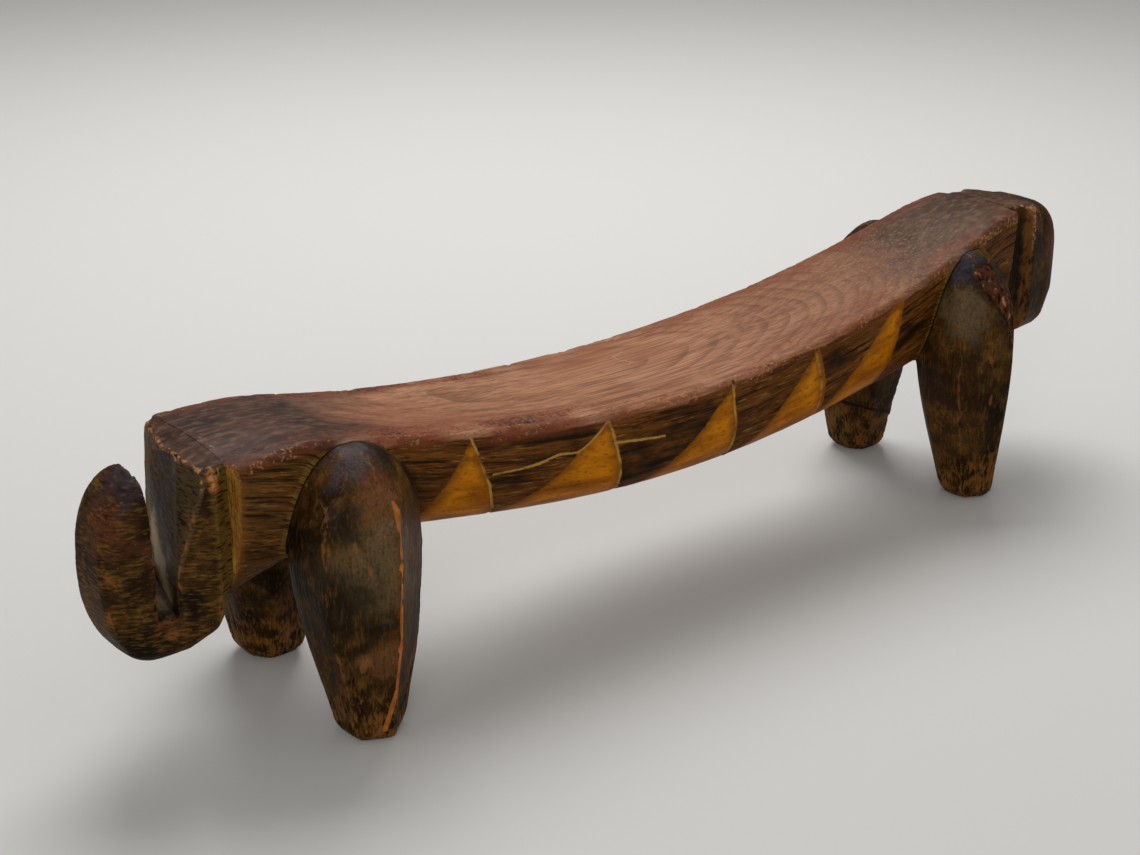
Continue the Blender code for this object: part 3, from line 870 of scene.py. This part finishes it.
def old_wood(place, long, knife, seed, patches, mirror=1):
    """(colour, clouds, spots, strokes) of old dark wood; knife is how much its strokes along long show."""
    clouds = noise(place, 0.020, seed, detail=6.0)
    spots = noise(place, 0.006, seed + 1, detail=8.0)
    strokes = noise(place, 0.0007, seed + 2, long=long, detail=5.0)
    colour = mix(between(clouds, 0.36, 0.64), NEAR_BLACK, DARK_BROWN)
    colour = mix(between(spots * 0.6 + clouds * 0.4, 0.42, 0.72) * 0.8, colour, MID_BROWN)
    colour = patched(colour, place, spots, patches, mirror)
    colour = mix(between(strokes + (spots - 0.5) * 0.4, 0.50, 0.70) * 0.45 * knife, colour, OLIVE)
    colour = mix(between(strokes, 0.49, 0.34) * 0.75 * knife, colour, NEAR_BLACK)
    fine = noise(place, 0.0009, seed + 3, detail=5.0)
    colour = mix(between(fine, 0.48, 0.34) * 0.4, colour, NEAR_BLACK)
    flecks = between(fine + (clouds - 0.5) * 0.3, 0.64, 0.74)
    return mix(flecks * 0.45, colour, TAN_FLECK), clouds, spots, strokes


print("old wood ready for legs, head and tail")

# %% [markdown]
# ## The legs
# The legs were whittled from tip to sole, blackened and polished. Where two cuts meet, the dark is
# rubbed away, most of all on the outer edge of the front legs, which is a coppery line with small
# knots. The rear legs have a chipped red ridge in a band of painted shade, and the tips of all legs
# carry a painted sheen, blue-black on the rear ones. The front legs' forward facets are painted near
# black as shade. All feet are bare and cracked. The legs share one carving and one paint, and each
# has its own seed, so that no two are alike.

# %% Marks on a leg
LEG_SIZES = {
    "Stroke width": 0.0022,
    "Stroke depth": 0.00025,
    "Chip width": 0.0024,
    "Chip depth": 0.0005,
    "Crack depth": 0.0007,
}
TIP_CUT = 0.0017
TIP_DIRECTIONS = ((-0.60, -0.30, 0.74), (0.35, -0.70, 0.62))
# Four flats behind the outer edge of a front leg: two points on the edge and one on the far corner
EDGE_FLATS = (
    ((-0.1440, -0.0533, 0.0668), (-0.1222, -0.0329, 0.0600), (-0.1427, -0.0505, 0.0787)),
    ((-0.1450, -0.0540, 0.0539), (-0.1222, -0.0329, 0.0600), (-0.1440, -0.0533, 0.0668)),
    ((-0.1449, -0.0531, 0.0397), (-0.1228, -0.0327, 0.0500), (-0.1450, -0.0540, 0.0539)),
    ((-0.1453, -0.0498, 0.0208), (-0.1284, -0.0361, 0.0200), (-0.1449, -0.0531, 0.0397)),
)


def foot_cracks(place):
    """Upright cracks in the end of a leg, from 0 to 1."""
    z = split(place)[2]
    wander = noise(place, 0.006, 34.0, long=(1, 1, 8), detail=3.0)
    return between(abs(wander - 0.5), 0.020, 0.004) * between(z, 0.026, 0.008)


def leg_marks(place, ridge, size):
    strokes = noise(place, size["Stroke width"], 31.0, long=(1, 1, 14), detail=3.0)
    chipped = between(noise(place, size["Chip width"], 33.0, long=(1, 1, 2), detail=3.0), 0.50, 0.62)
    chips = between(ridge, 0.00006, 0.00020) * chipped
    cracks = foot_cracks(place) * size["Crack depth"]
    return strokes * size["Stroke depth"] + chips * size["Chip depth"] + cracks


def tip_cuts(leg, mirror):
    """The two flat cuts that meet in a ridge at a leg's tip."""
    points = points_of(leg)
    cuts = []
    for x, y, z in TIP_DIRECTIONS:
        direction = Vector((x, y * mirror, z)).normalized()
        cuts.append((direction, float((points @ direction).max()) - TIP_CUT))
    return cuts


print("leg marks:", LEG_SIZES)

# %% Paint of a leg
FOOT_BROWN = srgb(124, 80, 34)
# Edges that are rubbed bare, on the left legs; each patch is a centre, a radius, a tint and a share
FRONT_LEG_EDGE = (
    (-0.1423, -0.0477, 0.0843), (-0.1427, -0.0505, 0.0787), (-0.1440, -0.0533, 0.0668),
    (-0.1450, -0.0540, 0.0539), (-0.1449, -0.0531, 0.0397), (-0.1453, -0.0498, 0.0208),
    (-0.1479, -0.0456, 0.0055),
)
FRONT_LEG_PATCHES = (
    # The first patch is a painted sheen on the tip
    ((-0.1495, -0.0350, 0.0945), 0.010, srgb(82, 70, 72), 0.8),
    ((-0.1445, -0.0430, 0.0885), 0.007, RED_BROWN, 0.7),
    ((-0.1480, -0.0460, 0.0830), 0.010, WORN, 0.5),
    # Dust with a painted sheen on the middle facet
    ((-0.1510, -0.0480, 0.0640), 0.017, DUST_AND_SHEEN, 0.5),
    ((-0.1500, -0.0500, 0.0330), 0.008, WORN, 0.45),
    ((-0.1310, -0.0410, 0.0560), 0.018, srgb(86, 48, 10), 0.55),
    ((-0.1560, -0.0470, 0.0330), 0.0035, WORN, 0.6),
    # The last two patches are painted shade on the shadowed facet that faces ahead
    ((-0.1620, -0.0440, 0.0560), 0.011, NEAR_BLACK, 0.7),
    ((-0.1600, -0.0410, 0.0790), 0.009, NEAR_BLACK, 0.75),
)
REAR_LEG_EDGE = (
    (0.1450, -0.0370, 0.0950), (0.1465, -0.0410, 0.0912), (0.1482, -0.0455, 0.0850),
    (0.1497, -0.0480, 0.0785), (0.1508, -0.0490, 0.0720),
)
# Thread's half width, then the height, reach and half width of the shoulder where it spreads
FRONT_LEG_SPREAD = (0.00042, 0.0800, 0.006, 0.0006)
REAR_LEG_SPREAD = (0.0008, 0.0920, 0.016, 0.0034)
THREAD_SLACK = 0.0003
KNOT_HEIGHTS = (0.064, 0.036)
LEG_GRAIN = (1, 1, 7)
LEG_KNIFE = 0.45
REAR_LEG_PATCHES = (
    # The first patch is a blue-black painted sheen on the tip
    ((0.1405, -0.0310, 0.0975), 0.009, srgb(52, 49, 60), 0.9),
    # Dust with a painted sheen on the facet
    ((0.1335, -0.0386, 0.0830), 0.013, DUST_AND_SHEEN, 0.65),
    ((0.1320, -0.0360, 0.0520), 0.018, srgb(46, 26, 10), 0.7),
)


def rubbed_edge(colour, place, path, spread, mottled, tint, spots, seed):
    """Lays a leg's rubbed edge over a colour: a thread along path that spreads at the shoulder."""
    thread_width, shoulder, reach, shoulder_width = spread
    z = split(place)[2]
    fine = noise(place, 0.0018, seed + 4, long=(1, 1, 2), detail=4.0)
    wide = between(abs(z - shoulder), reach, 0.002) * shoulder_width + thread_width
    for height in KNOT_HEIGHTS:
        wide = wide + between(abs(z - height), 0.0014, 0.0004) * thread_width
    thread = (near_path(place, path) - THREAD_SLACK).most(0) / wide + (fine - 0.5) * 2.0
    thread = thread + (spots - 0.5) * 2.5 * mottled
    # Painted shade: a near-black band round the rubbed edge, full on the mottled rear legs
    colour = mix(between(thread, 2.2, 1.2) * 0.6 * mottled, colour, NEAR_BLACK)
    rubbed = mix(between(spots, 0.56, 0.42) * 0.3, tint, RED_BROWN)
    rubbed = mix(between(fine, 0.52, 0.38) * mottled, rubbed, NEAR_BLACK)
    chips = noise(place, 0.0020, seed + 6, long=(1, 1, 2), detail=6.0)
    rubbed = mix(between(chips, 0.50, 0.66) * 0.7 * mottled, rubbed, WORN)
    # Pale chips along the rubbed edge, partly a painted highlight
    rubbed = mix(between(chips, 0.60, 0.68) * 0.75 * mottled, rubbed, PALE_CHIPS_AND_HIGHLIGHTS)
    return mix(between(thread, 1.3, 0.8) * 0.9, colour, rubbed)


def leg_paint(seed, edge, spread, mottled, tint, patches, mirror):
    """The paint of one leg; edge is the path of its rubbed edge, and mirror puts it on its side."""
    path = [(x, y * mirror, z) for x, y, z in edge]

    def paint(place, ridge, joint):
        z = split(place)[2]
        colour, clouds, spots, strokes = old_wood(place, LEG_GRAIN, LEG_KNIFE, seed, patches, mirror)
        low = between(z + (clouds - 0.5) * 0.05, 0.030, 0.004)
        colour = mix(low * between(strokes + (spots - 0.5), 0.40, 0.62) * 0.8, colour, FOOT_BROWN)
        colour = mix(foot_cracks(place), colour, NEAR_BLACK)
        away = between(joint, 0.8, 2.4)
        rubbed = between(ridge + (spots - 0.5) * 0.40, 0.10, 0.26)
        colour = mix(rubbed * away * 0.6, colour, WORN)
        flakes = noise(place, 0.006, seed + 5, long=(1, 1, 2.2), detail=4.0)
        colour = mix(between(flakes, 0.655, 0.675) * 0.6, colour, WORN)
        colour = rubbed_edge(colour, place, path, spread, mottled, tint, spots, seed)
        colour = mix((1 - away) * between(joint, 1.1, 0.5) * 0.9, colour, NEAR_BLACK)
        roughness = 0.44 + (spots - 0.5) * 0.6 + low * 0.12
        height = strokes * 0.00025 + spots * 0.00035
        return colour, roughness, height

    return paint


print("rubbed edges of", len(FRONT_LEG_EDGE), "and", len(REAR_LEG_EDGE), "points")

# %% Carve and paint the legs
# Edge, spread, mottling, tint and patches
FRONT_PAIR = (FRONT_LEG_EDGE, FRONT_LEG_SPREAD, 0.25, COPPER, FRONT_LEG_PATCHES)
REAR_PAIR = (REAR_LEG_EDGE, REAR_LEG_SPREAD, 1.0, DARK_RED, REAR_LEG_PATCHES)
LEFT, RIGHT = 1, -1
FIRST_SEED = 60.0
SEED_STEP = 7
FOOT_SEED = 95.0
LEG_COAT = 0.04
FOOT_COAT = 0.05
LEG_EASE = 4
LEG_DRAWN = 0.0009
LEG_FLATS = 9
TIP_FLATS = 5

for number, (node, leg) in enumerate(legs.items()):
    is_front = node.startswith("front")
    mirror = LEFT if "left" in node else RIGHT
    pair = FRONT_PAIR if is_front else REAR_PAIR
    paint = leg_paint(FIRST_SEED + SEED_STEP * number, *pair, mirror)
    cuts = flat_cuts(leg, LEG_FLATS, seed=number, tilts=(-0.10, 0.14), depth=0.0008)
    cuts += flat_cuts(leg, TIP_FLATS, seed=LEG_FLATS + number, tilts=(0.5, 1.0), depth=0.0010)
    cuts += tip_cuts(leg, mirror)
    if is_front:
        cuts += [flat_through(flat, mirror) for flat in EDGE_FLATS]
    beside = ["seat_beam", "rear_right_foot"] if node == "rear_right_leg" else ["seat_beam"]
    wood = finish(node + " wood", paint, LEG_COAT)
    carve(leg, LEG_SIZES, leg_marks, LEG_EASE, beside, LEG_DRAWN, wood, cuts)
foot_wood = finish("rear right foot wood", leg_paint(FOOT_SEED, *REAR_PAIR, RIGHT), FOOT_COAT)
carve(foot, LEG_SIZES, leg_marks, LEG_EASE, ["rear_right_leg"], LEG_DRAWN, foot_wood)

# %% [markdown]
# ## Head and tail
# The head is a thick trunk that turns up, with a slot behind it. Its flanks show rows of fine level
# strokes. The slot's wall carries one bright streak of painted highlight, and its near part is painted
# darker as shade. The tail is a short lobe with a hollow before it. Both are old dark wood, worn to red
# and orange on their rims and darkened in their hollows as painted shade, and their tops carry on the
# seat's bare top, so they borrow its paint where they face up beside the joint.

# %% Marks on head and tail
END_SIZES = {"Stroke width": 0.0010, "Stroke depth": 0.00022, "Chip width": 0.0030, "Chip depth": 0.0006}


def end_chips(place, ridge, size):
    chipped = between(noise(place, size["Chip width"], 72.0, detail=3.0), 0.50, 0.62)
    return between(ridge, 0.00008, 0.00022) * chipped * size["Chip depth"]


def head_marks(place, ridge, size):
    strokes = noise(place, size["Stroke width"], 71.0, long=(7, 7, 1), detail=3.0)
    return strokes * size["Stroke depth"] + end_chips(place, ridge, size)


def tail_marks(place, ridge, size):
    strokes = noise(place, size["Stroke width"], 73.0, long=(2, 2, 10), detail=3.0)
    return strokes * size["Stroke depth"] + end_chips(place, ridge, size)


print("head and tail marks:", END_SIZES)

# %% Paint of head and tail
ORANGE = srgb(158, 94, 46)
CORNER_REACH = 0.0016
NECK_CORNER = ((-0.1893, -0.0195, 0.0985), (-0.1900, -0.0222, 0.0960), (-0.1895, -0.0228, 0.0930))
HEAD_PATCHES = (
    # The purple patches are a painted sheen on the trunk's cap
    ((-0.2110, -0.0040, 0.0945), 0.010, SHEEN_PURPLE, 0.8),
    ((-0.2185, -0.0060, 0.0830), 0.011, RED_BROWN, 0.6),
    ((-0.2140, -0.0120, 0.0900), 0.004, SHEEN_PURPLE, 0.7),
    ((-0.2060, -0.0145, 0.0750), 0.005, RED_BROWN, 0.6),
    ((-0.2030, -0.0153, 0.0460), 0.003, ORANGE, 0.4),
    ((-0.1960, -0.0060, 0.0640), 0.010, srgb(66, 46, 26), 0.7),
    ((-0.1900, 0.0020, 0.0860), 0.016, srgb(56, 36, 10), 0.7),
)
# The painted highlight on the slot's wall: a bright streak along these points, its reach and colour
SLOT_HIGHLIGHT_PATH = (
    (-0.1912, 0.0143, 0.0680), (-0.1930, 0.0100, 0.0630), (-0.1954, 0.0026, 0.0570),
    (-0.1975, -0.0025, 0.0520),
)
SLOT_HIGHLIGHT_REACH = 0.0068
SLOT_HIGHLIGHT = srgb(204, 176, 132)
# The near part of the slot's wall, painted darker as shade: the direction it faces, and its
# distance along that
SLOT_WALL = ((-0.963, -0.070, 0.261), 0.2119)
SLOT_WALL_SHADE = srgb(84, 70, 50)
NECK_MIDDLE = -0.1865
NECK_OLIVE = srgb(106, 80, 32)
TAIL_PATCHES = (((0.2150, -0.0120, 0.0950), 0.012, RED_BROWN, 0.5),)
TAIL_WALL = (0.1946, 0.0168)
TAIL_STRIP = srgb(116, 74, 36)
END_EASE = 3
END_DRAWN = 0.0009
FLAT_DEPTH = 0.0009


def end_paint(seed, long, knife, patches):
    """The paint of the head or tail; knife is how much its strokes along long show."""

    def paint(place, ridge, joint):
        x, y, z = split(place)
        colour, clouds, spots, strokes = old_wood(place, long, knife, seed, patches)
        wall = between(abs(x - TAIL_WALL[0]), 0.0034, 0.0018) * between(abs(y), TAIL_WALL[1], 0.0180)
        colour = mix(wall * between(strokes + (spots - 0.5), 0.25, 0.55) * 0.6, colour, TAIL_STRIP)
        # Painted shade: the near part of the slot's wall is darkened like the shaded far part
        facing, far = SLOT_WALL
        off_wall = abs(place.vector("DOT_PRODUCT", place, facing, out=1) - far)
        shaded_slot_wall = between(off_wall, 0.0014, 0.0007) * between(z, 0.052, 0.060)
        colour = mix(shaded_slot_wall * between(strokes, 0.30, 0.55) * 0.7, colour, SLOT_WALL_SHADE)
        # Painted highlight: a pale streak along the slot's wall
        painted_highlight = near_path(place, SLOT_HIGHLIGHT_PATH) / SLOT_HIGHLIGHT_REACH + (strokes - 0.5) * 1.2 + (spots - 0.5)
        colour = mix(between(painted_highlight, 1.2, 0.2) * 0.8, colour, SLOT_HIGHLIGHT)
        neck = between(abs(x - NECK_MIDDLE), 0.0050, 0.0025) * between(abs(y), 0.0165, 0.0190)
        neck = neck * between(strokes, 0.34, 0.54)
        colour = mix(neck * 0.75, colour, NECK_OLIVE)
        worn = between(ridge + (spots - 0.5) * 0.8, 0.12, 0.36)
        away = between(joint, 1.0, 3.0)
        colour = mix(worn * away * 0.65, colour, mix(between(clouds, 0.42, 0.58), RED_BROWN, ORANGE))
        # Painted shade: hollows, where ridge is below zero, go near black, less so in the neck's strip
        colour = mix(between(ridge, -0.06, -0.25) * (0.85 - neck * 0.6), colour, NEAR_BLACK)
        corner = near_path(place, NECK_CORNER) / CORNER_REACH + (spots - 0.5) * 4
        colour = mix(between(corner, 1.2, 0.4) * between(strokes, 0.34, 0.56) * 0.9, colour, ORANGE)
        top = bare_top(place)[0]
        flat = between(measured(place, "up") + (spots - 0.5) * 0.3, 0.72, 0.86)
        colour = mix(flat * between(abs(x), 0.2040, 0.1960), colour, top)
        # Pale specks on the cap's ridges: chips, partly a painted highlight
        specks = between(noise(place, 0.0014, seed + 5, detail=5.0) + ridge * 0.3, 0.50, 0.66)
        specks = specks * between(ridge, 0.03, 0.20) * between(z, 0.090, 0.096) * away
        specks = specks * between(abs(x), 0.2060, 0.2020)
        colour = mix(specks * 0.8, colour, PALE_CHIPS_AND_HIGHLIGHTS)
        roughness = 0.50 + (spots - 0.5) * 0.6
        height = strokes * 0.00030 + spots * 0.00025
        return colour, roughness, height

    return paint


head_paint = end_paint(seed=80.0, long=(4.5, 4.5, 1), knife=0.9, patches=HEAD_PATCHES)
tail_paint = end_paint(seed=90.0, long=(2, 2, 5), knife=0.5, patches=TAIL_PATCHES)
head_wood = finish("head wood", head_paint, coat=0.04)
tail_wood = finish("tail wood", tail_paint, coat=0.05)
head_cuts = flat_cuts(head, 26, seed=20, tilts=(-0.6, 0.8), depth=FLAT_DEPTH, ahead=-1)
tail_cuts = flat_cuts(tail, 24, seed=21, tilts=(-0.5, 0.5), depth=FLAT_DEPTH, ahead=1)
carve(head, END_SIZES, head_marks, END_EASE, ["seat_beam"], END_DRAWN, head_wood, head_cuts)
carve(tail, END_SIZES, tail_marks, END_EASE, ["seat_beam"], END_DRAWN, tail_wood, tail_cuts)

# %% [markdown]
# ## Fitting the pieces to the frame
# Each carved piece stands for the solid it was made from, so the solid is hidden, and the piece
# rides on the stool's one body.

# %% Fit and finish
for node in sorted(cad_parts):
    piece = bpy.data.objects["carved_" + node]
    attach(piece, "root")
    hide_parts(node)
